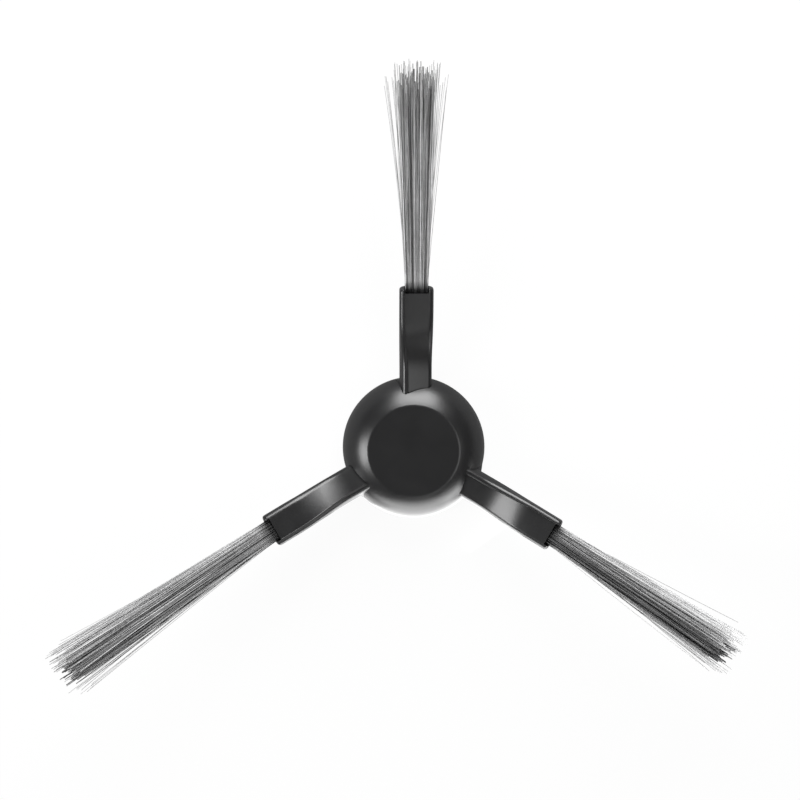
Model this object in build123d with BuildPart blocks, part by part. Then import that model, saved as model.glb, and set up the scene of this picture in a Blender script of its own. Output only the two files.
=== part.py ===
from build123d import *
import os
from math import radians, sqrt, tan

# Side brush of a robot vacuum cleaner, in millimetres and degrees.
# A domed cap and a flat base form the hub and trap three soft arms, and each arm ends in a bristle tuft.
# The origin is on the hub's axis, in the plane that the base stands on. +Z points along the axis to the
# cap's flat, which faces the floor in use. Arm 1 points along +Y, and the others follow anticlockwise.

# Hub outside: the widest circle, the dome above it and the flat on top
hub_height = 9.65
rim_radius = 14.0
rim_height = 3.0
dome_radius = 8.4
flat_radius = 8.9
crease_radius = 1.0
foot_inset = 0.7
cap_wall = 1.5

# Drive boss: a round pilot at its mouth, then a square for the machine's drive pin
boss_radius = 5.6
pilot_radius = 3.7
pilot_depth = 2.4
drive_across_flats = 5.2
drive_corner_radius = 0.6
socket_roof = 2.0
mouth_chamfer = 0.4

# Base plate below the cap, and the ribs inside the cap that it is bonded to
base_thickness = 1.6
base_edge_chamfer = 0.4
rib_width = 1.4

# Arms: a strap that leaves the hub level and rolled, climbs, and ends in a gentler slope
arm_azimuths = (90, 210, 330)
arm_drop = 3.65
arm_root_width = 6.1
arm_end_width = 6.6
arm_thickness = 3.2
arm_root_roll = 19.0
arm_end_roll = 2.5
arm_root_offset = 0.45
arm_end_offset = 0.5
root_engagement = 4.7
level_run = 3.8
climb_run = 7.0
end_run = 7.1
climb_slope = 26.0
end_slope = 15.0
bend_radius = 11.0
section_count = 6
plain_run = 2.6

# Arm details: a rail along both edges, each a ridge with a bulging flank outside it and a bank inside it,
# bevelled back corners, and the tuft's slot with its set-back front lip
rail_rise = 0.4
ridge_inset = 0.99
knee_inset = 0.23
knee_drop = 0.5
flank_drop = 1.35
bank_run = 0.33
root_bank_run = 0.9
back_corner_bevel = 0.45
ear_radius = 0.55
slot_width = 4.7
slot_height = 1.95
slot_depth = 6.0
slot_drop = 0.1
lip_set_back = 0.85

# Arm root: a block below the strap with the same slanted walls, and a flange behind the cap's wall
block_inset = 0.06
flange_width = 1.1
flange_thickness = 1.5
flange_height = 2.4

# Tufts: one filament for all, and a length and a sideways lean for each tuft
filament_diameter = 0.3
filament_sides = 4
filament_pitch = 0.33
filament_bury = 0.6
bundle_clearance = 0.21
plug_set_back = 1.2
tuft_lengths = (44.5, 49.5, 42.3)
tuft_leans = (0.5, 2.9, -1.8)
tuft_rise = 2.5
tuft_fan_width = 8.8
tuft_fan_depth = 4.6
tuft_ragged = 4.5
tuft_scatter = 0.3

# Clearances between pieces that are bonded, plugged in or trapped
fit_clearance = 0.05
trap_clearance = 0.1

# Hub heights and radii that follow from the sizes above
foot_radius = rim_radius - foot_inset
ceiling_height = hub_height - cap_wall
inner_foot_radius = foot_radius - cap_wall
inner_flat_radius = flat_radius - cap_wall / 2
shoulder_height = rim_height + cap_wall
socket_depth = hub_height - socket_roof
rib_azimuth = arm_azimuths[0] + 180 / len(arm_azimuths)

# Places along an arm that points along +X, where +Y is its anticlockwise side
arm_height = hub_height - arm_drop
arm_root_radius = rim_radius - root_engagement
climb_start = rim_radius + level_run
climb_end = climb_start + climb_run
arm_end_radius = climb_end + end_run
climb_top = arm_height + climb_run * tan(radians(climb_slope))
arm_end_height = climb_top + end_run * tan(radians(end_slope))
arm_drift = (arm_end_offset - arm_root_offset) / (arm_end_radius - climb_start)

# Tuft plug and the filaments that stand in it
plug_width = slot_width - 2 * fit_clearance
plug_height = slot_height - 2 * fit_clearance
filament_columns = int((slot_width - 2 * bundle_clearance) / filament_pitch)
filament_rows = int((slot_height - 2 * bundle_clearance) / filament_pitch)
golden_share = (sqrt(5) - 1) / 2


def along_arm(radius, height):
    """Point of the arm's centreline at a distance from the hub's axis and a height."""
    return (radius, -arm_root_offset - arm_drift * max(radius - climb_start, 0), height)


def root_plane(radius, azimuth=0):
    """Plane across an arm's root: X along its rolled width, Y along its thickness, Z away from the hub."""
    across = Vector(0, 1, 0).rotate(Axis.X, arm_root_roll)
    return Plane(
        origin=Vector(radius, -arm_root_offset, arm_height).rotate(Axis.Z, azimuth),
        x_dir=across.rotate(Axis.Z, azimuth),
        z_dir=Vector(1, 0, 0).rotate(Axis.Z, azimuth),
    )


def flank(half_width):
    """Points up the anticlockwise flank of the strap's section, from its side to its ridge."""
    front = arm_thickness / 2
    return [
        (half_width, front - flank_drop),
        (half_width - knee_inset, front - knee_drop),
        (half_width - ridge_inset, front),
    ]


def mirrored(points):
    """The same points on the clockwise side, in the order that closes an outline."""
    return [(-across, above) for across, above in reversed(points)]


def root_section(margin):
    """Rolled section below an arm's strap, down past the base, grown by a margin on each side."""
    Rectangle(
        arm_root_width + 2 * margin,
        2 * arm_height,
        align=(Align.CENTER, Align.MAX),
    )


def window_section():
    """Section of an arm's window: the strap's front and flanks with clearance, down past the base."""
    half_width = arm_root_width / 2
    outline = [(half_width, -2 * arm_height)] + flank(half_width)
    Polygon(*outline, *mirrored(outline), align=None)
    offset(amount=fit_clearance, kind=Kind.INTERSECTION)


# Centreline of an arm: level at the root, climbing, then at the slope of its end
with BuildLine() as centreline:
    FilletPolyline(
        along_arm(arm_root_radius, arm_height),
        along_arm(climb_start, arm_height),
        along_arm(climb_end, climb_top),
        along_arm(arm_end_radius, arm_end_height),
        radius=bend_radius,
    )
arm_path = centreline.wire()
path_runs = centreline.edges().sort_by(Axis.X)
root_run = path_runs[0].length
straight_end_run = path_runs[-1].length


def end_share(share):
    """How far the strap has turned from its root's section to its end's, from 0 past the rim to 1."""
    start = (root_engagement + plain_run) / arm_path.length
    finish = 1 - straight_end_run / arm_path.length
    step = min(max((share - start) / (finish - start), 0), 1)
    return step * step * (3 - 2 * step)


def strap_plane(share):
    """Plane across the strap at a share of its centreline, with X along its rolled width."""
    tangent = arm_path.tangent_at(share)
    roll = arm_root_roll + (arm_end_roll - arm_root_roll) * end_share(share)
    level = Vector(0, 0, 1).cross(tangent).normalized()
    return Plane(
        origin=arm_path.position_at(share),
        x_dir=level.rotate(Axis((0, 0, 0), tangent), roll),
        z_dir=tangent,
    )


def strap_section(share):
    """Section of the strap: a bar with a rail along both front edges and bevelled back corners."""
    turned = end_share(share)
    half_width = (arm_root_width + (arm_end_width - arm_root_width) * turned) / 2
    back = -arm_thickness / 2
    bevel = [(half_width - back_corner_bevel, back), (half_width, back + back_corner_bevel)]
    side = bevel + flank(half_width)
    channel = half_width - ridge_inset - bank_run
    wide_channel = half_width - ridge_inset - root_bank_run + (root_bank_run - bank_run) * turned
    floor = arm_thickness / 2 - rail_rise
    with BuildSketch(strap_plane(share)) as section:
        Polygon(*side, (wide_channel, floor), (-channel, floor), *mirrored(side), align=None)
    return section.sketch


os.makedirs("parts", exist_ok=True)

# Room inside the cap, left free by the drive boss and the ribs
with BuildPart() as hollow:
    with BuildSketch(Plane.XZ):
        with BuildLine():
            Polyline(
                (0, base_thickness),
                (inner_foot_radius, base_thickness),
                (inner_foot_radius, shoulder_height),
                (inner_flat_radius, ceiling_height),
                (0, ceiling_height),
                close=True,
            )
        make_face()
    revolve(axis=Axis.Z)
    with BuildSketch(Plane.XY.offset(base_thickness)):
        Circle(boss_radius)
        with PolarLocations(rim_radius / 2, len(arm_azimuths), start_angle=rib_azimuth):
            Rectangle(rim_radius, rib_width)
    extrude(amount=ceiling_height, mode=Mode.SUBTRACT)

# Hub cap: the hollow dome with its boss, socket, ribs and arm windows
with BuildPart() as hub_cap:
    with BuildSketch(Plane.XZ) as dome_profile:
        with BuildLine():
            skirt = Line((foot_radius, base_thickness), (rim_radius, rim_height))
            dome = RadiusArc(skirt @ 1, (flat_radius, hub_height), -dome_radius)
            Polyline(dome @ 1, (0, hub_height), (0, base_thickness), skirt @ 0)
        make_face()
        crease = dome_profile.vertices().sort_by_distance((flat_radius, hub_height))[0]
        fillet(crease, crease_radius)
    revolve(axis=Axis.Z)
    add(hollow.part, mode=Mode.SUBTRACT)

    # Arm windows, open below, so that the arms drop in before the base goes on
    for azimuth in arm_azimuths:
        with BuildSketch(root_plane(arm_root_radius - trap_clearance, azimuth)):
            window_section()
        extrude(amount=rim_radius, mode=Mode.SUBTRACT)

    # Boss through the base, with the drive socket: the round pilot with its lead-in, then the square
    with BuildSketch(Plane.XY):
        Circle(boss_radius)
    extrude(amount=base_thickness)
    with BuildSketch(Plane.XY):
        Circle(pilot_radius)
    extrude(amount=pilot_depth, mode=Mode.SUBTRACT)
    with BuildSketch(Plane.XY):
        RectangleRounded(drive_across_flats, drive_across_flats, drive_corner_radius)
    extrude(amount=socket_depth, mode=Mode.SUBTRACT)
    foot_circles = hub_cap.faces().filter_by(Axis.Z).group_by(Axis.Z)[0].edges()
    chamfer(foot_circles.filter_by(GeomType.CIRCLE).sort_by(SortBy.RADIUS)[0], mouth_chamfer)
hub_cap.part.label = "hub_cap"
export_step(hub_cap.part, "parts/hub_cap.step")

# Hub base: the closing plate with its boss hole
with BuildPart() as hub_base:
    with BuildSketch(Plane.XY):
        Circle(foot_radius)
    extrude(amount=base_thickness)
    chamfer(hub_base.edges().group_by(Axis.Z)[0], base_edge_chamfer)
    Hole(boss_radius + fit_clearance)
hub_base.part.label = "hub_base"
export_step(hub_base.part, "parts/hub_base.step")

# Root block of an arm: slanted walls down to the base, flush with the hub's rim outside
with BuildPart() as root_block:
    with BuildSketch(root_plane(arm_root_radius)):
        root_section(-block_inset)
    extrude(amount=rim_radius)
    with BuildSketch(Plane.XZ):
        Polygon(
            (0, base_thickness),
            (foot_radius, base_thickness),
            (rim_radius, rim_height),
            (rim_radius, hub_height),
            (0, hub_height),
            align=None,
        )
    revolve(axis=Axis.Z, mode=Mode.INTERSECT)

# Flange of an arm's root, which keeps the arm from pulling out through its window
with BuildPart() as root_flange:
    with BuildSketch(root_plane(0)):
        root_section(flange_width)
    extrude(amount=rim_radius)
    flange_radius = inner_foot_radius - trap_clearance
    with BuildSketch(Plane.XY.offset(base_thickness)):
        Circle(flange_radius)
        Circle(flange_radius - flange_thickness, mode=Mode.SUBTRACT)
    extrude(amount=flange_height, mode=Mode.INTERSECT)

# Arm, pointing along +X: the strap with its root, the tuft's slot and the rounded ears beside it
with BuildPart() as arm:
    twist_start = root_run / arm_path.length
    twist_share = 1 - straight_end_run / arm_path.length - twist_start
    shares = [twist_start + twist_share * index / (section_count - 1) for index in range(section_count)]
    extrude(strap_section(shares[0]), amount=-root_run)
    loft([strap_section(share) for share in shares])
    extrude(strap_section(shares[-1]), amount=straight_end_run)
    add(root_block.part)
    add(root_flange.part)
    end_plane = strap_plane(1)
    with BuildSketch(end_plane):
        with Locations((0, -slot_drop)):
            Rectangle(slot_width, slot_height)
    extrude(amount=-slot_depth, mode=Mode.SUBTRACT)
    with BuildSketch(end_plane):
        with Locations((0, -slot_drop)):
            Rectangle(slot_width, arm_thickness, align=(Align.CENTER, Align.MIN))
    extrude(amount=-lip_set_back, mode=Mode.SUBTRACT)
    ear_plane = Plane(end_plane.origin, x_dir=end_plane.z_dir, z_dir=end_plane.y_dir)
    with BuildSketch(ear_plane):
        Rectangle(2 * ear_radius, arm_end_width + ear_radius)
        RectangleRounded(
            slot_depth,
            arm_end_width,
            ear_radius,
            align=(Align.MAX, Align.CENTER),
            mode=Mode.SUBTRACT,
        )
    extrude(amount=arm_thickness, both=True, mode=Mode.SUBTRACT)
for number, azimuth in enumerate(arm_azimuths, start=1):
    placed_arm = arm.part.rotate(Axis.Z, azimuth)
    placed_arm.label = f"arm_{number}"
    export_step(placed_arm, f"parts/arm_{number}.step")


def filament(index, column, row, length, lean):
    """One filament of a tuft, straight, from inside the plug to its own tip in the fan."""
    stagger = filament_pitch / 4 * (1 if row % 2 else -1)
    across = (column - (filament_columns - 1) / 2) * filament_pitch + stagger
    above = (row - (filament_rows - 1) / 2) * filament_pitch
    scatter_across = tuft_scatter * ((index * golden_share) % 1 - 1 / 2)
    scatter_above = tuft_scatter * ((index * golden_share**2) % 1 - 1 / 2)
    tip_across = across / plug_width * tuft_fan_width + scatter_across
    tip_above = above / plug_height * tuft_fan_depth + scatter_above
    direction = (
        end_plane.z_dir
        + end_plane.x_dir * (tan(radians(lean)) + (tip_across - across) / length)
        + end_plane.y_dir * (tan(radians(tuft_rise)) + (tip_above - above) / length)
    ).normalized()
    foot = (
        end_plane.origin
        + end_plane.x_dir * across
        + end_plane.y_dir * (above - slot_drop)
        - end_plane.z_dir * (plug_set_back + filament_bury)
    )
    own_length = length - tuft_ragged * (1 - ((index * golden_share) % 1) ** 2)
    with BuildPart() as strand:
        with BuildSketch(Plane(foot, z_dir=direction)):
            RegularPolygon(filament_diameter / 2, filament_sides)
        extrude(amount=own_length + plug_set_back + filament_bury)
    return strand.part


# Tufts: a bonded plug in each arm's slot, fused with the filaments that fan out of it
for number, azimuth in enumerate(arm_azimuths, start=1):
    length = tuft_lengths[number - 1]
    lean = tuft_leans[number - 1]
    strands = []
    for row in range(filament_rows):
        for column in range(filament_columns):
            strands.append(filament(len(strands), column, row, length, lean))
    with BuildPart() as tuft:
        with BuildSketch(end_plane.offset(fit_clearance - slot_depth)):
            with Locations((0, -slot_drop)):
                Rectangle(plug_width, plug_height)
        extrude(amount=slot_depth - fit_clearance - plug_set_back)
        add(strands)
    placed_tuft = tuft.part.rotate(Axis.Z, azimuth)
    placed_tuft.label = f"tuft_{number}"
    export_step(placed_tuft, f"parts/tuft_{number}.step")
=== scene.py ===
import logging
import math
import random
from collections.abc import Sequence
from dataclasses import dataclass, field
from enum import Enum

import bmesh
import bpy
from mathutils import Matrix, Vector


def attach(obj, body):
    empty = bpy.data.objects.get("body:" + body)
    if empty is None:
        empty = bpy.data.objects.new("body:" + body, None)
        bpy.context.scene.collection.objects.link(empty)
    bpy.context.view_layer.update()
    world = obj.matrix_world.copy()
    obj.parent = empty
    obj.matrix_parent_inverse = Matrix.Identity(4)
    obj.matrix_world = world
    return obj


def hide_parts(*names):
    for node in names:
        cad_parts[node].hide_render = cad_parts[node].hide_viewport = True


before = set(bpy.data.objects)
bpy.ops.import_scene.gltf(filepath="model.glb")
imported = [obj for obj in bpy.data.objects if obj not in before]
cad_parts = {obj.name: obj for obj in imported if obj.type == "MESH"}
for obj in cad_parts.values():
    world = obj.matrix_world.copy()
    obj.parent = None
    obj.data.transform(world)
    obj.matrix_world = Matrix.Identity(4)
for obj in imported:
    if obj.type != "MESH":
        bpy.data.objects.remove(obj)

LOG = logging.getLogger("side_brush")
MM = 0.001
ARM_AZIMUTHS = (90.0, 210.0, 330.0)
BUMP_DEPTH = 0.02 * MM
TUFT_SEED = 4100

Point = tuple[float, float]
Span = tuple[float, float]
Colour = tuple[float, float, float]
Place = tuple[float, float, float]


class Slot(Enum):
    """Material slots of the record."""

    HUB_CAP = "hub_cap"
    HUB_BASE = "hub_base"
    ARM = "arm"
    BRISTLE = "bristle"


class VeilSide(Enum):
    """Where a tuft's veil of light-toned filaments stands, as the sign of the offset across the slot; the
    veil is real and sparse, and its lighter tone is painted light on the side that faces the top lamp.
    """

    BOTH = 0.0
    CLOCKWISE = -1.0
    ANTICLOCKWISE = 1.0


class Channel(Enum):
    """Values that a mesh carries per point for its material.

    ALONG is the share of the way along the piece. TONE is a filament's tone, and on an arm it marks the
    inner bank of the rail.
    """

    ALONG = "along"
    TONE = "tone"


# Mesh building


class MeshMaker:
    """Collects the points and faces of one mesh, and a value per point for each channel."""

    def __init__(self, name: str, turn: float = 0.0) -> None:
        """Starts an empty mesh.

        Args:
            name: name of the object that is made.
            turn: angle about the hub's axis by which all points are turned, in degrees.
        """
        self.name = name
        self.turn = Matrix.Rotation(math.radians(turn), 3, "Z")
        self.points: list[Vector] = []
        self.faces: list[tuple[int, ...]] = []
        self.values: dict[Channel, list[float]] = {channel: [] for channel in Channel}

    def ring(self, points: Sequence[Vector], along: float = 0.0, tone: float = 0.0) -> list[int]:
        """Adds points and the channel values that they share.

        Args:
            points: points before the mesh is turned.
            along: share of the way along the piece.
            tone: tone of the points.

        Returns:
            The numbers of the new points.
        """
        first = len(self.points)
        self.points.extend(self.turn @ point for point in points)
        self.values[Channel.ALONG].extend([along] * len(points))
        self.values[Channel.TONE].extend([tone] * len(points))
        return list(range(first, len(self.points)))

    def bridge(self, lower: Sequence[int], upper: Sequence[int], closed: bool = True) -> None:
        """Joins two rings of equal length with quads.

        Args:
            lower: point numbers of the first ring.
            upper: point numbers of the second ring.
            closed: whether the last point joins the first.
        """
        count = len(lower)
        for index in range(count if closed else count - 1):
            after = (index + 1) % count
            self.faces.append((lower[index], lower[after], upper[after], upper[index]))

    def cap(self, ring: Sequence[int]) -> None:
        """Closes a ring with one face."""
        self.faces.append(tuple(ring))

    def loft(self, rings: Sequence[Sequence[int]]) -> None:
        """Joins rings in order and closes both ends.

        Args:
            rings: point numbers of each ring.
        """
        for lower, upper in zip(rings, rings[1:]):
            self.bridge(lower, upper)
        self.cap(rings[0])
        self.cap(rings[-1])

    def make(self) -> bpy.types.Object:
        """Makes the object with outward faces and its channels, and links it to the scene.

        Returns:
            The new object.
        """
        mesh = bpy.data.meshes.new(self.name)
        mesh.from_pydata([tuple(point) for point in self.points], [], self.faces)
        for channel, values in self.values.items():
            layer = mesh.attributes.new(channel.value, "FLOAT", "POINT")
            layer.data.foreach_set("value", values)
        shell = bmesh.new()
        shell.from_mesh(mesh)
        bmesh.ops.recalc_face_normals(shell, faces=shell.faces[:])
        shell.to_mesh(mesh)
        shell.free()
        piece = bpy.data.objects.new(self.name, mesh)
        bpy.context.scene.collection.objects.link(piece)
        return piece


def shade_by_angle(piece: bpy.types.Object, angle: float) -> None:
    """Shades a piece smooth, with sharp edges above an angle.

    Args:
        piece: mesh object.
        angle: angle between faces from which an edge stays sharp, in degrees.
    """
    piece.data.polygons.foreach_set("use_smooth", [True] * len(piece.data.polygons))
    piece.data.set_sharp_from_angle(angle=math.radians(angle))


def cut(piece: bpy.types.Object, cutter: bpy.types.Object) -> None:
    """Takes a cutter's volume away from a piece and removes the cutter.

    Args:
        piece: mesh object that is cut.
        cutter: closed mesh object.
    """
    modifier = piece.modifiers.new("cut", "BOOLEAN")
    modifier.operation = "DIFFERENCE"
    modifier.solver = "EXACT"
    modifier.object = cutter
    depsgraph = bpy.context.evaluated_depsgraph_get()
    result = bpy.data.meshes.new_from_object(piece.evaluated_get(depsgraph))
    piece.modifiers.remove(modifier)
    before = piece.data
    piece.data = result
    bpy.data.meshes.remove(before)
    bpy.data.objects.remove(cutter)


def dress_piece(piece: bpy.types.Object, material: bpy.types.Material) -> None:
    """Gives a piece one material.

    Args:
        piece: mesh object.
        material: material for all of it.
    """
    piece.data.materials.clear()
    piece.data.materials.append(material)


def within(value: float) -> float:
    """Keeps a place in the slot between -1 and 1."""
    return min(max(value, -1.0), 1.0)


def rounded_loop(corners: Sequence[tuple[float, float, float]], steps: int) -> list[Point]:
    """Closed loop with an arc at each corner.

    Args:
        corners: place of each corner and the radius of its arc.
        steps: segments in each arc.

    Returns:
        The loop's points, in the corners' order.
    """
    loop: list[Point] = []
    for index, (x, y, radius) in enumerate(corners):
        corner = Vector((x, y))
        before = (Vector(corners[index - 1][:2]) - corner).normalized()
        after = (Vector(corners[(index + 1) % len(corners)][:2]) - corner).normalized()
        half = before.angle(after) / 2
        centre = corner + (before + after).normalized() * (radius / math.sin(half))
        start = corner + before * (radius / math.tan(half)) - centre
        finish = corner + after * (radius / math.tan(half)) - centre
        spread = start.angle(finish)
        for step in range(steps + 1):
            share = step / steps
            spoke = start * math.sin((1 - share) * spread) + finish * math.sin(share * spread)
            loop.append(tuple(centre + spoke / math.sin(spread)))
    return loop


# Form of the arms


@dataclass(frozen=True)
class Station:
    """Place on an arm's centreline with the directions of the section there."""

    place: Vector
    along: Vector
    across: Vector
    above: Vector
    width: float
    turned: float

    def at(self, across: float, above: float, ahead: float = 0.0) -> Vector:
        """Point at an offset from the station."""
        return self.place + self.across * across + self.above * above + self.along * ahead


@dataclass(frozen=True)
class ArmShape:
    """Sizes of an arm that points along +X, in metres and degrees."""

    rim_radius: float = 14.0 * MM
    rim_height: float = 3.0 * MM
    foot_radius: float = 13.3 * MM
    foot_height: float = 1.6 * MM
    height: float = 6.0 * MM
    root_width: float = 6.3 * MM
    end_width: float = 6.6 * MM
    thickness: float = 3.2 * MM
    root_roll: float = 19.0
    end_roll: float = 2.5
    root_offset: float = 0.45 * MM
    end_offset: float = 0.5 * MM
    engagement: float = 4.7 * MM
    plain_run: float = 1.4 * MM
    turn_run: float = 13.1 * MM
    level_run: float = 3.5 * MM
    climb_run: float = 6.6 * MM
    end_run: float = 7.8 * MM
    climb_slope: float = 26.0
    end_slope: float = 14.0
    bend_radius: float = 13.5 * MM
    rail_rise: float = 0.4 * MM
    rail_ridge: float = 0.74 * MM
    rail_foot: float = 1.0 * MM
    root_rail_foot: float = 1.12 * MM
    flank_slope: float = 8.0
    flank_round: float = 0.8 * MM
    ridge_round: float = 0.1 * MM
    foot_round: float = 0.16 * MM
    plain_round: float = 1.1 * MM
    back_round: float = 0.9 * MM
    ear_round: float = 0.55 * MM
    ear_top_round: float = 0.28 * MM
    slot_width: float = 4.7 * MM
    slot_height: float = 1.95 * MM
    slot_depth: float = 6.0 * MM
    slot_drop: float = 0.1 * MM
    lip_set_back: float = 0.85 * MM
    block_inset: float = 0.06 * MM


class ArmLine:
    """Centreline of an arm, with the roll and width of its section."""

    step = 0.02 * MM

    def __init__(self, shape: ArmShape) -> None:
        """Lays out the runs and bends and walks along them once.

        Args:
            shape: sizes of the arm.
        """
        self.shape = shape
        climb = math.radians(shape.climb_slope)
        end = math.radians(shape.end_slope)
        first_tangent = shape.bend_radius * math.tan(climb / 2)
        second_tangent = shape.bend_radius * math.tan((climb - end) / 2)
        self.climb_start = shape.rim_radius + shape.level_run
        root_radius = shape.rim_radius - shape.engagement
        self.climb_from = self.climb_start - first_tangent - root_radius
        self.climb_to = self.climb_from + shape.bend_radius * climb
        climb_length = shape.climb_run / math.cos(climb) - first_tangent - second_tangent
        self.ease_from = self.climb_to + climb_length
        self.ease_to = self.ease_from + shape.bend_radius * (climb - end)
        self.length = self.ease_to + shape.end_run / math.cos(end) - second_tangent
        end_radius = self.climb_start + shape.climb_run + shape.end_run
        self.drift = (shape.end_offset - shape.root_offset) / (end_radius - self.climb_start)
        self.places: list[Point] = [(root_radius, shape.height)]
        while len(self.places) * self.step < self.length + 2 * self.step:
            slope = self.slope((len(self.places) - 0.5) * self.step)
            radius, height = self.places[-1]
            radius += math.cos(slope) * self.step
            height += math.sin(slope) * self.step
            self.places.append((radius, height))

    def slope(self, distance: float) -> float:
        """Slope of the centreline, in radians.

        Args:
            distance: length along the centreline from the root.

        Returns:
            The slope above level.
        """
        rise = min(max(distance, self.climb_from), self.climb_to) - self.climb_from
        ease = min(max(distance, self.ease_from), self.ease_to) - self.ease_from
        return (rise - ease) / self.shape.bend_radius

    def turned(self, distance: float) -> float:
        """Share by which the section has turned from its root's roll to its end's.

        Args:
            distance: length along the centreline from the root.

        Returns:
            0 at the root and 1 at the end, with a smooth course between.
        """
        start = self.shape.engagement + self.shape.plain_run
        step = min(max((distance - start) / self.shape.turn_run, 0.0), 1.0)
        return step * step * (3.0 - 2.0 * step)

    def station(self, distance: float) -> Station:
        """Section's place and directions.

        Args:
            distance: length along the centreline from the root.

        Returns:
            The station at that distance.
        """
        shape = self.shape
        count = min(int(distance / self.step), len(self.places) - 2)
        share = distance / self.step - count
        radius = self.places[count][0] * (1 - share) + self.places[count + 1][0] * share
        height = self.places[count][1] * (1 - share) + self.places[count + 1][1] * share
        beyond = radius - self.climb_start
        aside = -shape.root_offset - self.drift * max(beyond, 0.0)
        slope = self.slope(distance)
        drift = self.drift if beyond > 0 else 0.0
        along = Vector((math.cos(slope), -drift * math.cos(slope), math.sin(slope))).normalized()
        turned = self.turned(distance)
        roll = shape.root_roll + (shape.end_roll - shape.root_roll) * turned
        level = Vector((0, 0, 1)).cross(along).normalized()
        across = Matrix.Rotation(math.radians(roll), 3, along) @ level
        return Station(
            place=Vector((radius, aside, height)),
            along=along,
            across=across,
            above=along.cross(across),
            width=shape.root_width + (shape.end_width - shape.root_width) * turned,
            turned=turned,
        )


@dataclass
class Arm:
    """One soft arm: the strap with its rail, slot and ears, and the root block in the cap's window."""

    number: int
    line: ArmLine
    spacing: float = 0.35 * MM
    ear_steps: int = 8
    ear_share: float = 0.96
    arc_steps: int = 6
    block_steps: int = 14
    sharp_angle: float = 32.0

    @property
    def node(self) -> str:
        """CAD node that the arm replaces."""
        return f"arm_{self.number}"

    @property
    def bank_points(self) -> slice:
        """Points of a section that lie on the rail's inner bank."""
        corner = self.arc_steps + 1
        return slice(3 * corner + 1, 4 * corner + corner // 2)

    def section(self, station: Station, from_end: float) -> list[Vector]:
        """Section of the strap with its rail, drawn in near the end where the ears are round.

        Args:
            station: place and directions of the section.
            from_end: distance to the strap's end.

        Returns:
            The section's points, anticlockwise as seen from the tuft.
        """
        shape = self.line.shape
        reach = max(shape.ear_round - from_end, 0.0) / shape.ear_round
        drawn = 1.0 - math.sqrt(max(1.0 - reach * reach, 0.0))
        aside = station.width / 2 - shape.ear_round * drawn
        ridge = station.width / 2 - shape.rail_ridge
        bank = shape.rail_foot + (shape.root_rail_foot - shape.rail_foot) * (1.0 - station.turned)
        top = shape.thickness / 2 - shape.ear_top_round * drawn
        floor = top - shape.rail_rise
        tight = (aside - ridge) / shape.rail_ridge
        shoulder = top - (aside - ridge) * math.tan(math.radians(shape.flank_slope))
        corners = (
            (-aside, -top, shape.back_round),
            (aside, -top, shape.back_round),
            (aside, shoulder, shape.flank_round * tight),
            (ridge, top, shape.ridge_round * tight),
            (station.width / 2 - bank, floor, shape.foot_round),
            (-aside, floor, shape.plain_round),
        )
        return [station.at(across, above) for across, above in rounded_loop(corners, self.arc_steps)]

    def strap(self) -> bpy.types.Object:
        """Strap with closed ends, and the root block below it.

        Returns:
            The mesh object.
        """
        shape = self.line.shape
        straight = self.line.length - shape.ear_round
        count = math.ceil(straight / self.spacing)
        distances = [straight * index / count for index in range(count + 1)]
        for step in range(1, self.ear_steps + 1):
            angle = math.pi / 2 * step / self.ear_steps * self.ear_share
            distances.append(straight + shape.ear_round * math.sin(angle))
        maker = MeshMaker(f"{self.node}.soft", ARM_AZIMUTHS[self.number - 1])
        rings = []
        for distance in distances:
            points = self.section(self.line.station(distance), self.line.length - distance)
            ring = maker.ring(points, along=distance / self.line.length)
            for number in ring[self.bank_points]:
                maker.values[Channel.TONE][number] = 1.0
            rings.append(ring)
        maker.loft(rings)
        self.block(maker)
        return maker.make()

    def block(self, maker: MeshMaker) -> None:
        """Root block below the strap, with slanted walls and an outside flush with the hub's rim.

        Args:
            maker: mesh that takes the block.
        """
        shape = self.line.shape
        root = self.line.station(0.0)
        half = shape.root_width / 2 - shape.block_inset
        spread = (shape.rim_radius - shape.foot_radius) / (shape.rim_height - shape.foot_height)
        steps = self.block_steps
        rows = []
        for row in range(steps + 1):
            inside, outside = [], []
            for column in range(steps + 1):
                across = half * (2 * column / steps - 1)
                drop = shape.height + root.across.z * across - shape.foot_height
                above = -drop / root.above.z * (1 - row / steps)
                point = root.at(across, above)
                radius = shape.foot_radius + spread * (point.z - shape.foot_height)
                radius = min(radius, shape.rim_radius)
                outside.append(Vector((math.sqrt(radius**2 - point.y**2), point.y, point.z)))
                inside.append(point)
            rows.append((maker.ring(inside), maker.ring(outside)))
        for (lower_in, lower_out), (upper_in, upper_out) in zip(rows, rows[1:]):
            maker.bridge(lower_in, upper_in, closed=False)
            maker.bridge(lower_out, upper_out, closed=False)
            maker.faces.append((lower_in[0], lower_out[0], upper_out[0], upper_in[0]))
            maker.faces.append((lower_in[-1], lower_out[-1], upper_out[-1], upper_in[-1]))
        for inside, outside in (rows[0], rows[-1]):
            maker.bridge(inside, outside, closed=False)

    def slot_cutter(self) -> bpy.types.Object:
        """Volume of the tuft's slot and of the gap in front of the set-back lip.

        Returns:
            The closed mesh object.
        """
        shape = self.line.shape
        end = self.line.station(self.line.length)
        floor = -shape.slot_drop - shape.slot_height / 2
        roof = -shape.slot_drop + shape.slot_height / 2
        beyond = shape.thickness
        outline = (
            (beyond, floor),
            (beyond, beyond),
            (-shape.lip_set_back, beyond),
            (-shape.lip_set_back, roof),
            (-shape.slot_depth, roof),
            (-shape.slot_depth, floor),
        )
        maker = MeshMaker(f"{self.node}.cutter", ARM_AZIMUTHS[self.number - 1])
        rings = []
        for side in (-shape.slot_width / 2, shape.slot_width / 2):
            rings.append(maker.ring([end.at(side, above, ahead) for ahead, above in outline]))
        maker.loft(rings)
        return maker.make()

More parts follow.
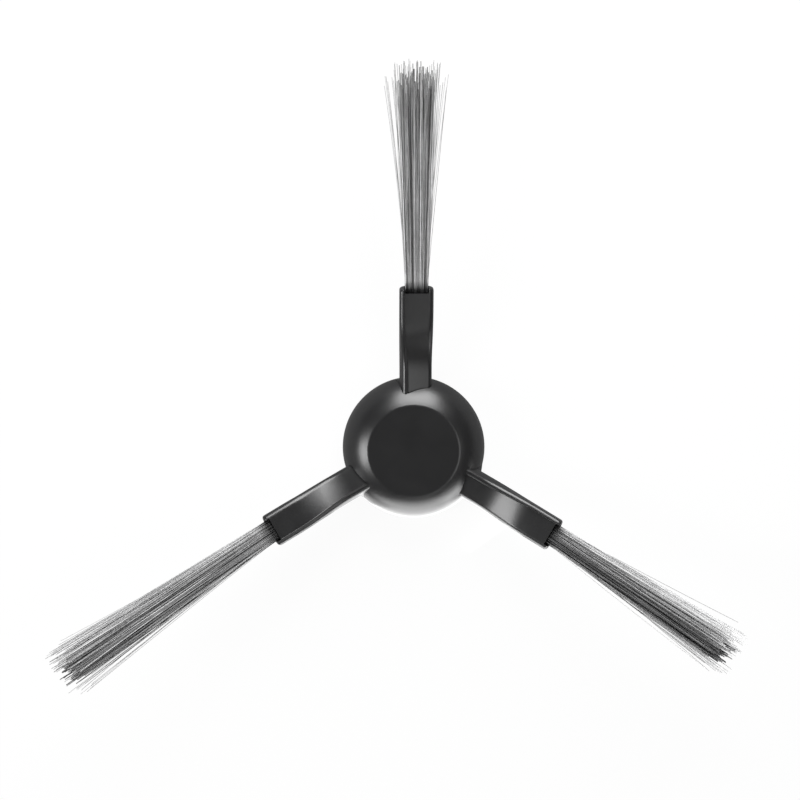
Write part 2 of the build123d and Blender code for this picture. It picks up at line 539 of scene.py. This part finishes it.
    def build(self) -> bpy.types.Object:
        """Builds the arm and lets it replace its CAD node.

        Returns:
            The piece.
        """
        piece = self.strap()
        cut(piece, self.slot_cutter())
        shade_by_angle(piece, self.sharp_angle)
        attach(piece, "root")
        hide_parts(self.node)
        return piece

    def dress(self, piece: bpy.types.Object, material: bpy.types.Material) -> None:
        """Gives the arm its material."""
        dress_piece(piece, material)


# Tufts


@dataclass(frozen=True)
class Clump:
    """Filaments that stand together: their place in the slot, from -1 to 1, and what they share."""

    across: float
    above: float
    shift: float
    tone: float


@dataclass(frozen=True)
class TuftLook:
    """What sets one tuft apart: its length, its lean in degrees, its veil and its tones. Its shade and
    its tip's shade are painted light levels: the tufts are one nylon, coloured apart for how the lamps
    fall on each.
    """

    length: float
    lean: float
    veil_side: VeilSide
    # painted light level: this tuft's base tone, set for how the lamps fall on it
    shade: float
    # painted shade and light at the tip, as a factor on the tone there
    painted_tip_shade: float


@dataclass(frozen=True)
class TuftShape:
    """Sizes that the tufts share, in metres and degrees.

    Places in the slot run from -1 to 1. A spread is the standard deviation of a random part, or a pair of
    them across and above. A Span holds the least and the most of an even random part.
    """

    rise: float = 2.5
    set_back: float = 1.2 * MM
    bury: float = 0.6 * MM
    margin: float = 0.05 * MM
    wall_gap: float = 0.16 * MM
    plug_round: float = 0.2 * MM
    plug_steps: int = 3
    sides: int = 5
    segments: int = 12
    sharp_angle: float = 80.0
    # course of a filament
    wave: float = 0.42 * MM
    wave_spread: float = 0.6
    swell_waves: float = 1.6
    bow: float = 1.3
    bow_spread: float = 0.12
    ragged: float = 5.0 * MM
    # tones; the veil's side is coloured lighter as painted light from the top lamp
    # how near the tip the painted tip shade and light set in
    tip_fade: int = 8
    veil_fade: float = 1.3
    painted_veil_light: float = 0.62
    clump_tone_spread: float = 0.3
    strand_tone_spread: float = 0.42
    # core
    columns: int = 13
    rows: int = 4
    per_clump: int = 3
    diameter: float = 0.18 * MM
    fan_width: float = 6.4 * MM
    fan_depth: float = 3.6 * MM
    cell: Span = (0.2, 0.8)
    clump_spread: float = 0.3 * MM
    foot_spread: Span = (0.06, 0.2)
    tip_spread: Span = (0.22 * MM, 0.3 * MM)
    core_short: float = 1.5 * MM
    mean_cut: float = 0.5
    front_cut: float = 0.3
    cut_range: float = 0.9
    veil_room: float = 0.32
    veil_push: float = 0.2
    # veil, of which one filament in so many stands anywhere in the tuft
    veil: int = 84
    veil_spare: int = 4
    veil_diameter: float = 0.11 * MM
    veil_width: float = 8.6 * MM
    veil_from: float = 0.1
    veil_reach: float = 0.95
    veil_crowding: float = 1.2
    veil_spread: Span = (0.06, 0.4 * MM)
    veil_cut: float = 0.9
    # painted light: the least tone of a veil filament
    veil_least_tone: float = 0.36
    # strays, of which one in so many stands on either side
    strays: int = 14
    stray_spare: int = 3
    fine_diameter: float = 0.075 * MM
    stray_width: float = 12.2 * MM
    stray_foot: Span = (0.75, 1.0)
    stray_reach: Span = (0.5, 1.0)
    stray_lift: Span = (-0.5, 0.5)
    stray_cut: Span = (0.1, 1.2)
    stray_tone: Span = (0.1, 0.7)


@dataclass
class Tuft:
    """One bristle tuft: a fused plug in the arm's slot and the filaments that fan out of it."""

    number: int
    line: ArmLine
    look: TuftLook
    shape: TuftShape = TuftShape()
    chance: random.Random = field(init=False)
    end: Station = field(init=False)
    maker: MeshMaker = field(init=False)

    def __post_init__(self) -> None:
        """Seeds the tuft's own random numbers, finds the arm's end and starts an empty mesh."""
        self.chance = random.Random(TUFT_SEED + self.number)
        self.end = self.line.station(self.line.length)
        self.maker = MeshMaker(f"{self.node}.filaments", ARM_AZIMUTHS[self.number - 1])

    @property
    def node(self) -> str:
        """CAD node that the tuft replaces."""
        return f"tuft_{self.number}"

    @property
    def one_sided(self) -> bool:
        """Whether the veil stands on one side only."""
        return self.look.veil_side is not VeilSide.BOTH

    def plug(self) -> None:
        """Adds the fused root of the filaments, bonded in the slot."""
        arm, shape = self.line.shape, self.shape
        half_width = arm.slot_width / 2 - shape.margin
        half_height = arm.slot_height / 2 - shape.margin
        corners = [
            (across * half_width, above * half_height - arm.slot_drop, shape.plug_round)
            for across, above in ((-1, -1), (1, -1), (1, 1), (-1, 1))
        ]
        loop = rounded_loop(corners, shape.plug_steps)
        rings = []
        for ahead in (shape.margin - arm.slot_depth, -shape.set_back):
            points = [self.end.at(across, above, ahead) for across, above in loop]
            rings.append(self.maker.ring(points))
        self.maker.loft(rings)

    def course(self, foot: Point, tip: Point, length: float) -> list[Vector]:
        """Centreline of one filament, bowed outwards and with a gentle wave.

        Args:
            foot: place of the filament's root in the slot, across and above.
            tip: offset of its tip from the slot's axis.
            length: distance of the tip from the arm's end.

        Returns:
            Points from root to tip.
        """
        arm, shape = self.line.shape, self.shape
        phase = self.chance.uniform(0, math.tau)
        wave = shape.wave * self.chance.gauss(0, shape.wave_spread)
        bow = self.chance.gauss(shape.bow, shape.bow_spread)
        start = -shape.set_back - shape.bury
        lean = math.tan(math.radians(self.look.lean))
        rise = math.tan(math.radians(shape.rise))
        foot_across = foot[0] * (arm.slot_width / 2 - shape.wall_gap)
        foot_above = foot[1] * (arm.slot_height / 2 - shape.wall_gap)
        centres = []
        for index in range(shape.segments + 1):
            share = index / shape.segments
            ahead = start + (length - start) * share
            beyond = max(ahead, 0.0)
            eased = share**bow
            sway = wave * math.sin(math.pi * share) * math.cos(phase)
            swell = wave * math.sin(math.pi * shape.swell_waves * share) * math.sin(phase)
            across = foot_across + (tip[0] - foot_across) * eased + lean * beyond + sway
            above = foot_above + (tip[1] - foot_above) * eased + rise * beyond + swell
            centres.append(self.end.at(across, above - arm.slot_drop, ahead))
        return centres

    def strand(self, foot: Point, tip: Point, length: float, diameter: float, tone: float) -> None:
        """Adds one filament as a fine tube.

        Args:
            foot: place of the filament's root in the slot, across and above.
            tip: offset of its tip from the slot's axis.
            length: distance of the tip from the arm's end.
            diameter: thickness of the filament.
            tone: its tone, from 0 for dark to 1 for light.
        """
        shape = self.shape
        centres = self.course(foot, tip, length)
        rings = []
        for index, centre in enumerate(centres):
            before = centres[max(index - 1, 0)]
            after = centres[min(index + 1, shape.segments)]
            along = (after - before).normalized()
            aside = self.end.above.cross(along).normalized() * (diameter / 2)
            upward = along.cross(aside)
            points = []
            for side in range(shape.sides):
                angle = math.tau * side / shape.sides
                points.append(centre + aside * math.cos(angle) + upward * math.sin(angle))
            share = index / shape.segments
            # painted shade and light at the tip: the top tuft's tips darken where its lower filaments
            # stand in shade, the side tufts' tips lighten
            fade = 1 + (self.look.painted_tip_shade - 1) * share**shape.tip_fade
            rings.append(self.maker.ring(points, along=share, tone=min(tone * fade, 1.0)))
        self.maker.loft(rings)

    def tone(self, across: float) -> float:
        """Tone of a filament: near the tuft's own painted light level, and lighter towards the veil by
        painted light, on the side that faces the top lamp.

        Args:
            across: place of the filament in the slot.

        Returns:
            Tone from 0 for dark to 1 for light.
        """
        shape, shade = self.shape, self.look.shade
        # painted light: filaments are coloured lighter towards the side that faces the top lamp
        veiled = max(self.look.veil_side.value * across, 0.0) ** shape.veil_fade
        lit = shade + (shape.painted_veil_light - shade) * veiled
        return min(lit * math.exp(self.chance.gauss(0, shape.clump_tone_spread)), 1.0)

    def clumps(self) -> list[Clump]:
        """Lays out the clumps in rows across the slot, and leaves the veil's side to fine filaments.

        Returns:
            All clumps of the tuft.
        """
        shape, side = self.shape, self.look.veil_side.value
        room = 1 - shape.veil_room * abs(side)
        laid = []
        for row in range(shape.rows):
            for column in range(shape.columns):
                across = 2 * (column + self.chance.uniform(*shape.cell)) / shape.columns - 1
                across = across * room - shape.veil_push * side
                laid.append(Clump(
                    across=across,
                    above=2 * (row + self.chance.uniform(*shape.cell)) / shape.rows - 1,
                    shift=self.chance.gauss(0, shape.clump_spread),
                    tone=self.tone(across),
                ))
        return laid

    def cut_length(self, above: float) -> float:
        """Length of a core filament: the upper ones are cut shorter.

        Args:
            above: place of the filament in the slot, from -1 at the back to 1 at the front.

        Returns:
            Distance of the tip from the arm's end.
        """
        shape = self.shape
        short = shape.mean_cut + shape.front_cut * above
        short += shape.cut_range * (self.chance.random() - 0.5)
        return self.look.length - shape.core_short - shape.ragged * short

    def core(self) -> None:
        """Adds the filaments of the clumps."""
        shape, chance = self.shape, self.chance
        for clump in self.clumps():
            for _ in range(shape.per_clump):
                across = within(clump.across + chance.gauss(0, shape.foot_spread[0]))
                above = within(clump.above + chance.gauss(0, shape.foot_spread[1]))
                fanned = clump.across * shape.fan_width / 2 + clump.shift
                tip = (
                    fanned + chance.gauss(0, shape.tip_spread[0]),
                    clump.above * shape.fan_depth / 2 + chance.gauss(0, shape.tip_spread[1]),
                )
                tone = min(clump.tone * math.exp(chance.gauss(0, shape.strand_tone_spread)), 1.0)
                self.strand((across, above), tip, self.cut_length(above), shape.diameter, tone)

    def veil(self) -> None:
        """Adds the light-toned filaments, most of them on the veil's side; their lighter tone is painted
        light.
        """
        shape, chance = self.shape, self.chance
        diameter = shape.veil_diameter if self.one_sided else shape.fine_diameter
        for index in range(shape.veil):
            place = chance.uniform(-1, 1)
            if self.one_sided and index % shape.veil_spare:
                reach = shape.veil_from + shape.veil_reach * abs(place) ** shape.veil_crowding
                place = self.look.veil_side.value * reach
            foot = (within(place), chance.uniform(-1, 1))
            tip = (
                (place + chance.gauss(0, shape.veil_spread[0])) * shape.veil_width / 2,
                foot[1] * shape.fan_depth / 2 + chance.gauss(0, shape.veil_spread[1]),
            )
            length = self.look.length - shape.ragged * shape.veil_cut * chance.random()
            tone = max(self.tone(place), shape.veil_least_tone)
            self.strand(foot, tip, length, diameter, tone)

    def stray_strands(self) -> None:
        """Adds the few fine filaments that stand off, most of them away from the veil."""
        shape, chance = self.shape, self.chance
        for index in range(shape.strays):
            side = 1 if index % 2 else -1
            if self.one_sided and index % shape.stray_spare:
                side = -self.look.veil_side.value
            foot = (side * chance.uniform(*shape.stray_foot), chance.uniform(-1, 1))
            tip = (
                chance.uniform(*shape.stray_reach) * side * shape.stray_width / 2,
                chance.uniform(*shape.stray_lift) * shape.fan_depth,
            )
            length = self.look.length - shape.ragged * chance.uniform(*shape.stray_cut)
            self.strand(foot, tip, length, shape.fine_diameter, chance.uniform(*shape.stray_tone))

    def build(self) -> bpy.types.Object:
        """Builds the tuft and lets it replace its CAD node.

        Returns:
            The piece.
        """
        self.plug()
        self.core()
        self.veil()
        self.stray_strands()
        piece = self.maker.make()
        shade_by_angle(piece, self.shape.sharp_angle)
        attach(piece, "root")
        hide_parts(self.node)
        return piece

    def dress(self, piece: bpy.types.Object, material: bpy.types.Material) -> None:
        """Gives the tuft its material."""
        dress_piece(piece, material)


# Finishes


class Nodes:
    """Short way to add nodes to a node tree and to link them."""

    def __init__(self, tree: bpy.types.NodeTree) -> None:
        """Clears the tree.

        Args:
            tree: node tree of a material, group or world.
        """
        self.tree = tree
        tree.nodes.clear()

    def add(self, kind: str, **settings: object) -> bpy.types.Node:
        """Adds a node.

        Args:
            kind: type name of the node.
            settings: properties of the node.

        Returns:
            The new node.
        """
        node = self.tree.nodes.new(kind)
        for name, value in settings.items():
            setattr(node, name, value)
        return node

    def put(self, node: bpy.types.Node, **values: object) -> bpy.types.Node:
        """Sets input values of a node by their names, with _ for a space.

        Args:
            node: node of this tree.
            values: value for each input.

        Returns:
            The same node.
        """
        for name, value in values.items():
            node.inputs[name.replace("_", " ")].default_value = value
        return node

    def link(self, source: bpy.types.NodeSocket, target: bpy.types.NodeSocket) -> None:
        """Links an output to an input."""
        self.tree.links.new(source, target)

    def math(self, operation: str, first: object, second: object) -> bpy.types.NodeSocket:
        """Adds a math node.

        Args:
            operation: name of the operation.
            first: socket or value.
            second: socket or value.

        Returns:
            The node's output.
        """
        node = self.add("ShaderNodeMath", operation=operation)
        for socket, value in zip(node.inputs, (first, second)):
            if isinstance(value, bpy.types.NodeSocket):
                self.link(value, socket)
            else:
                socket.default_value = value
        return node.outputs[0]

    def blend(self, share: bpy.types.NodeSocket, low: object, high: object) -> bpy.types.NodeSocket:
        """Mixes two colours or two values by a share.

        Args:
            share: socket from 0 to 1.
            low: colour or value at 0.
            high: colour or value at 1.

        Returns:
            The mixed output.
        """
        coloured = isinstance(low, tuple)
        node = self.add("ShaderNodeMix", data_type="RGBA" if coloured else "FLOAT")
        offset, output = (6, 2) if coloured else (2, 0)
        self.link(share, node.inputs[0])
        for socket, value in zip(node.inputs[offset : offset + 2], (low, high)):
            socket.default_value = (*value, 1.0) if coloured else value
        return node.outputs[output]

    def ramp(self, value: bpy.types.NodeSocket, span: Span, top: float = 1.0) -> bpy.types.NodeSocket:
        """Maps a span of values to the range from 0 to a top, and keeps others within it.

        Args:
            value: socket that is mapped.
            span: value that gives 0 and value that gives the top.
            top: highest output.

        Returns:
            The mapped output.
        """
        node = self.put(self.add("ShaderNodeMapRange"), From_Min=span[0], From_Max=span[1], To_Max=top)
        self.link(value, node.inputs["Value"])
        return node.outputs[0]


class MouldTexture:
    """Shared node group: the fine grain and the faint flow marks of a moulded surface."""

    name = "mould_texture"
    flow_span = (0.3, 0.7)

    def group(self) -> bpy.types.NodeTree:
        """Makes the group once.

        Returns:
            The group, with outputs Shade, Gloss and Height.
        """
        found = bpy.data.node_groups.get(self.name)
        if found:
            return found
        tree = bpy.data.node_groups.new(self.name, "ShaderNodeTree")
        tree.interface.new_socket("Grain Scale", in_out="INPUT", socket_type="NodeSocketFloat")
        tree.interface.new_socket("Flow Scale", in_out="INPUT", socket_type="NodeSocketFloat")
        for output in ("Shade", "Gloss", "Height"):
            tree.interface.new_socket(output, in_out="OUTPUT", socket_type="NodeSocketFloat")
        nodes = Nodes(tree)
        inputs = nodes.add("NodeGroupInput")
        outputs = nodes.add("NodeGroupOutput")
        place = nodes.add("ShaderNodeTexCoord").outputs["Object"]
        grain = nodes.put(nodes.add("ShaderNodeTexNoise"), Detail=3.0, Roughness=0.6)
        flow = nodes.put(nodes.add("ShaderNodeTexNoise"), Detail=2.0, Roughness=0.45, Distortion=0.6)
        nodes.link(inputs.outputs["Grain Scale"], grain.inputs["Scale"])
        nodes.link(inputs.outputs["Flow Scale"], flow.inputs["Scale"])
        for noise in (grain, flow):
            nodes.link(place, noise.inputs["Vector"])
        shade = nodes.ramp(flow.outputs[0], self.flow_span)
        nodes.link(shade, outputs.inputs["Shade"])
        mean = nodes.math("MULTIPLY", nodes.math("ADD", grain.outputs[0], shade), 0.5)
        nodes.link(mean, outputs.inputs["Gloss"])
        nodes.link(grain.outputs[0], outputs.inputs["Height"])
        return tree


@dataclass(frozen=True)
class MouldedFinish:
    """Dark moulded plastic or rubber, with more roughness by matt_bank on the inner bank of a rail."""

    name: str
    dark: Colour
    light: Colour
    roughness: Span
    ior: float
    grain_scale: float
    flow_scale: float
    bump: float
    matt_bank: float = 0.0

    def material(self) -> bpy.types.Material:
        """Makes the material.

        Returns:
            The procedural material.
        """
        made = bpy.data.materials.new(self.name)
        made.use_nodes = True
        nodes = Nodes(made.node_tree)
        output = nodes.add("ShaderNodeOutputMaterial")
        shader = nodes.put(nodes.add("ShaderNodeBsdfPrincipled"), IOR=self.ior)
        texture = nodes.add("ShaderNodeGroup", node_tree=MouldTexture().group())
        nodes.put(texture, Grain_Scale=self.grain_scale, Flow_Scale=self.flow_scale)
        shade = nodes.blend(texture.outputs["Shade"], self.dark, self.light)
        nodes.link(shade, shader.inputs["Base Color"])
        bank = nodes.add("ShaderNodeAttribute", attribute_name=Channel.TONE.value)
        matt = nodes.math("MULTIPLY", bank.outputs["Fac"], self.matt_bank)
        gloss = nodes.blend(texture.outputs["Gloss"], *self.roughness)
        nodes.link(nodes.math("ADD", gloss, matt), shader.inputs["Roughness"])
        bump = nodes.put(nodes.add("ShaderNodeBump"), Strength=self.bump, Distance=BUMP_DEPTH)
        nodes.link(texture.outputs["Height"], bump.inputs["Height"])
        nodes.link(bump.outputs[0], shader.inputs["Normal"])
        nodes.link(shader.outputs[0], output.inputs["Surface"])
        return made


@dataclass(frozen=True)
class FilamentFinish:
    """Nylon filaments that differ in tone, darken at the root by painted shade where the lip and ears
    shade them, and are matt at their cut tips.

    The places of root and tip are shares of the way along a filament.
    """

    name: str = "bristle_nylon"
    dark: Colour = (0.012, 0.012, 0.0125)
    light: Colour = (0.92, 0.92, 0.925)
    roughness: Span = (0.3, 0.42)
    ior: float = 1.42
    grain_scale: float = 4200.0
    flow_scale: float = 700.0
    flecks: Span = (0.9, 1.1)
    # painted shade: the span along a filament over which its root darkens, where the lip and ears shade
    # it
    root: Span = (0.038, 0.085)
    tip: Span = (0.88, 1.0)
    tip_matt: float = 0.15
    bump: float = 0.02

    def material(self) -> bpy.types.Material:
        """Makes the material.

        Returns:
            The procedural material.
        """
        made = bpy.data.materials.new(self.name)
        made.use_nodes = True
        nodes = Nodes(made.node_tree)
        output = nodes.add("ShaderNodeOutputMaterial")
        shader = nodes.put(nodes.add("ShaderNodeBsdfPrincipled"), IOR=self.ior)
        tone = nodes.add("ShaderNodeAttribute", attribute_name=Channel.TONE.value)
        along = nodes.add("ShaderNodeAttribute", attribute_name=Channel.ALONG.value)
        texture = nodes.add("ShaderNodeGroup", node_tree=MouldTexture().group())
        nodes.put(texture, Grain_Scale=self.grain_scale, Flow_Scale=self.flow_scale)
        flecks = nodes.blend(texture.outputs["Shade"], *self.flecks)
        # painted shade at the root, where the lip and ears shade the filaments
        root = nodes.ramp(along.outputs["Fac"], self.root)
        share = nodes.math("MULTIPLY", nodes.math("MULTIPLY", tone.outputs["Fac"], flecks), root)
        nodes.link(nodes.blend(share, self.dark, self.light), shader.inputs["Base Color"])
        gloss = nodes.blend(texture.outputs["Gloss"], *self.roughness)
        matt = nodes.ramp(along.outputs["Fac"], self.tip, self.tip_matt)
        nodes.link(nodes.math("ADD", gloss, matt), shader.inputs["Roughness"])
        bump = nodes.put(nodes.add("ShaderNodeBump"), Strength=self.bump, Distance=BUMP_DEPTH)
        nodes.link(texture.outputs["Height"], bump.inputs["Height"])
        nodes.link(bump.outputs[0], shader.inputs["Normal"])
        nodes.link(shader.outputs[0], output.inputs["Surface"])
        return made


@dataclass(frozen=True)
class FloorFinish:
    """White studio sheet that keeps a trace of the object's shadow and is dimmer in reflections."""

    name: str = "studio_sheet"
    colour: Colour = (0.9, 0.9, 0.9)
    dimmed: Colour = (0.3, 0.3, 0.3)
    clean_share: float = 0.94
    grain_scale: float = 900.0
    bump: float = 0.05

    def material(self) -> bpy.types.Material:
        """Makes the material.

        Returns:
            The procedural material.
        """
        made = bpy.data.materials.new(self.name)
        made.use_nodes = True
        nodes = Nodes(made.node_tree)
        output = nodes.add("ShaderNodeOutputMaterial")
        path = nodes.add("ShaderNodeLightPath")
        sheet = nodes.add("ShaderNodeBsdfDiffuse")
        seen = path.outputs["Is Camera Ray"]
        nodes.link(nodes.blend(seen, self.dimmed, self.colour), sheet.inputs["Color"])
        grain = nodes.put(nodes.add("ShaderNodeTexNoise"), Scale=self.grain_scale, Detail=2.0)
        bump = nodes.put(nodes.add("ShaderNodeBump"), Strength=self.bump, Distance=BUMP_DEPTH)
        nodes.link(grain.outputs[0], bump.inputs["Height"])
        nodes.link(bump.outputs[0], sheet.inputs["Normal"])
        white = nodes.put(nodes.add("ShaderNodeEmission"), Strength=1.0)
        mix = nodes.add("ShaderNodeMixShader")
        nodes.link(nodes.math("MULTIPLY", seen, self.clean_share), mix.inputs[0])
        nodes.link(sheet.outputs[0], mix.inputs[1])
        nodes.link(white.outputs[0], mix.inputs[2])
        nodes.link(mix.outputs[0], output.inputs["Surface"])
        return made


# Hub


@dataclass(frozen=True)
class Hub:
    """CAD cap and base, which keep their own meshes."""

    cap_node: str = "hub_cap"
    base_node: str = "hub_base"

    def dress(self, cap: bpy.types.Material, base: bpy.types.Material) -> list[bpy.types.Object]:
        """Gives the cap and the base their materials.

        Args:
            cap: material of the cap.
            base: material of the base.

        Returns:
            Both pieces.
        """
        pieces = [bpy.data.objects[node] for node in (self.cap_node, self.base_node)]
        dress_piece(pieces[0], cap)
        dress_piece(pieces[1], base)
        return pieces


# Studio


def bearing(azimuth: float, elevation: float) -> Vector:
    """Direction at an azimuth from +X and an elevation, in degrees.

    Args:
        azimuth: angle about +Z.
        elevation: angle above the floor.

    Returns:
        The unit vector.
    """
    around, upward = math.radians(azimuth), math.radians(elevation)
    level = Vector((math.cos(around), math.sin(around), 0.0)) * math.cos(upward)
    return level + Vector((0.0, 0.0, math.sin(upward)))


@dataclass(frozen=True)
class Softbox:
    """Rectangular lamp that the camera doesn't see."""

    name: str
    centre: Vector
    back: Vector
    width: float
    height: float
    radiance: float

    @classmethod
    def around(
        cls, name: str, azimuth: float, elevation: float, distance: float, size: Point, radiance: float
    ) -> "Softbox":
        """Lamp that faces the hub.

        Args:
            name: name of the lamp.
            azimuth: angle about +Z at which the hub sees it.
            elevation: its angle above the floor.
            distance: distance from the hub.
            size: width and height.
            radiance: brightness of its face, where 1 is white.

        Returns:
            The lamp.
        """
        towards = bearing(azimuth, elevation)
        return cls(name, towards * distance, towards, *size, radiance)

    @classmethod
    def low(cls, name: str, centre: Place, back: Point, size: Point, radiance: float) -> "Softbox":
        """Lamp low beside the hub that shines upwards, for the lights on the lower rim and the arms.

        Args:
            name: name of the lamp.
            centre: its middle, in millimetres.
            back: azimuth and elevation of its back.
            size: width and height.
            radiance: brightness of its face, where 1 is white.

        Returns:
            The lamp.
        """
        return cls(name, Vector(centre) * MM, bearing(*back), *size, radiance)

    def build(self) -> None:
        """Makes the lamp and links it to the scene."""
        lamp = bpy.data.lights.new(self.name, "AREA")
        lamp.shape = "RECTANGLE"
        lamp.size, lamp.size_y = self.width, self.height
        lamp.energy = self.radiance * math.pi * self.width * self.height
        holder = bpy.data.objects.new(self.name, lamp)
        holder.location = self.centre
        holder.rotation_euler = self.back.to_track_quat("Z", "Y").to_euler()
        holder.visible_camera = False
        bpy.context.scene.collection.objects.link(holder)


@dataclass
class Studio:
    """Floor, room light, lamps and camera."""

    floor_half: float = 1.2
    floor_cells: int = 8
    room: float = 0.1
    lens: float = 100.26
    tilt: float = -6.0
    eye: Vector = field(default_factory=lambda: Vector((-2.69, 55.22, 439.62)) * MM)
    clip: Span = (10 * MM, 10.0)
    boxes: tuple[Softbox, ...] = (
        Softbox.around("box_top", 86.0, 25.0, 0.45, (0.36, 0.36), 8.5),
        Softbox.around("box_left", 190.5, 33.0, 0.45, (0.195, 0.216), 9.0),
        Softbox.around("box_right", 346.0, 55.0, 0.5, (0.26, 0.22), 1.8),
        Softbox.around("box_front", 285.0, 50.0, 0.5, (0.26, 0.2), 0.7),
        Softbox.low("card_far", (30.0, -85.0, 23.0), (270.0, -70.0), (0.11, 0.12), 4.6),
        Softbox.low("card_near", (2.0, -23.5, 0.4), (270.0, -89.0), (0.022, 0.025), 4.0),
        Softbox.low("card_right", (16.5, -19.5, 3.0), (305.0, -22.0), (0.011, 0.008), 2.8),
        Softbox.low("card_side", (-12.0, -22.5, 0.4), (270.0, -89.0), (0.006, 0.023), 2.0),
    )

    def floor(self) -> None:
        """Makes the sheet below the object, with a few rows so that it isn't one plain face."""
        maker = MeshMaker("studio_floor")
        cells = self.floor_cells
        marks = [self.floor_half * (2 * mark / cells - 1) for mark in range(cells + 1)]
        rows = [maker.ring([Vector((x, y, 0.0)) for x in marks]) for y in marks]
        for lower, upper in zip(rows, rows[1:]):
            maker.bridge(lower, upper, closed=False)
        sheet = maker.make()
        sheet.data.materials.append(FloorFinish().material())

    def world(self) -> None:
        """Makes the white room behind the object, with dim light from all sides."""
        world = bpy.data.worlds.new("studio_room")
        world.use_nodes = True
        bpy.context.scene.world = world
        nodes = Nodes(world.node_tree)
        output = nodes.add("ShaderNodeOutputWorld")
        path = nodes.add("ShaderNodeLightPath")
        seen = nodes.blend(path.outputs["Is Camera Ray"], self.room, 1.0)
        background = nodes.put(nodes.add("ShaderNodeBackground"), Color=(1.0, 1.0, 1.0, 1.0))
        nodes.link(seen, background.inputs["Strength"])
        nodes.link(background.outputs[0], output.inputs["Surface"])

    def camera(self) -> None:
        """Sets up the camera at the photo's angle."""
        data = bpy.data.cameras.new("camera")
        data.lens = self.lens
        data.clip_start, data.clip_end = self.clip
        holder = bpy.data.objects.new("camera", data)
        holder.location = self.eye
        holder.rotation_euler = (math.radians(self.tilt), 0.0, 0.0)
        bpy.context.scene.collection.objects.link(holder)
        bpy.context.scene.camera = holder

    def build(self) -> None:
        """Builds the whole studio."""
        self.floor()
        self.world()
        for box in self.boxes:
            box.build()
        self.camera()
        bpy.context.scene.view_settings.view_transform = "Standard"


CAP_FINISH = MouldedFinish(
    name="cap_gloss_plastic",
    dark=(0.0085, 0.0085, 0.009),
    light=(0.0105, 0.0105, 0.011),
    roughness=(0.3, 0.35),
    ior=1.65,
    grain_scale=9000.0,
    flow_scale=180.0,
    bump=0.06,
)
BASE_FINISH = MouldedFinish(
    name="base_matt_plastic",
    dark=(0.018, 0.018, 0.019),
    light=(0.026, 0.026, 0.027),
    roughness=(0.45, 0.58),
    ior=1.5,
    grain_scale=5000.0,
    flow_scale=160.0,
    bump=0.35,
)
ARM_FINISH = MouldedFinish(
    name="arm_soft_rubber",
    dark=(0.0095, 0.0095, 0.01),
    light=(0.0125, 0.0125, 0.013),
    roughness=(0.28, 0.34),
    ior=1.65,
    grain_scale=7000.0,
    flow_scale=220.0,
    bump=0.04,
    matt_bank=0.65,
)
# Per tuft, shade and the tip's shade are painted light levels: the three tufts share one nylon and are
# coloured apart only for how the lamps fall on each, the top tuft lightest.
TUFT_LOOKS = (
    TuftLook(length=44.5 * MM, lean=0.5, veil_side=VeilSide.BOTH, shade=0.45, painted_tip_shade=0.7),
    TuftLook(length=49.5 * MM, lean=2.9, veil_side=VeilSide.CLOCKWISE, shade=0.19, painted_tip_shade=1.1),
    TuftLook(length=42.3 * MM, lean=-1.8, veil_side=VeilSide.ANTICLOCKWISE, shade=0.085, painted_tip_shade=1.6),
)


def main() -> None:
    """Builds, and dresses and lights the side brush."""
    logging.basicConfig(level=logging.INFO, format="%(name)s: %(message)s")
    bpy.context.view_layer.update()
    line = ArmLine(ArmShape())
    arm_material = ARM_FINISH.material()
    bristle_material = FilamentFinish().material()
    pieces = Hub().dress(CAP_FINISH.material(), BASE_FINISH.material())
    for number, look in enumerate(TUFT_LOOKS, start=1):
        arm = Arm(number, line)
        arm_piece = arm.build()
        arm.dress(arm_piece, arm_material)
        tuft = Tuft(number, line, look)
        tuft_piece = tuft.build()
        tuft.dress(tuft_piece, bristle_material)
        pieces.extend((arm_piece, tuft_piece))
    for piece in pieces:
        LOG.info("%s: %d faces", piece.name, len(piece.data.polygons))
    Studio().build()


if __name__ == "__main__":
    main()
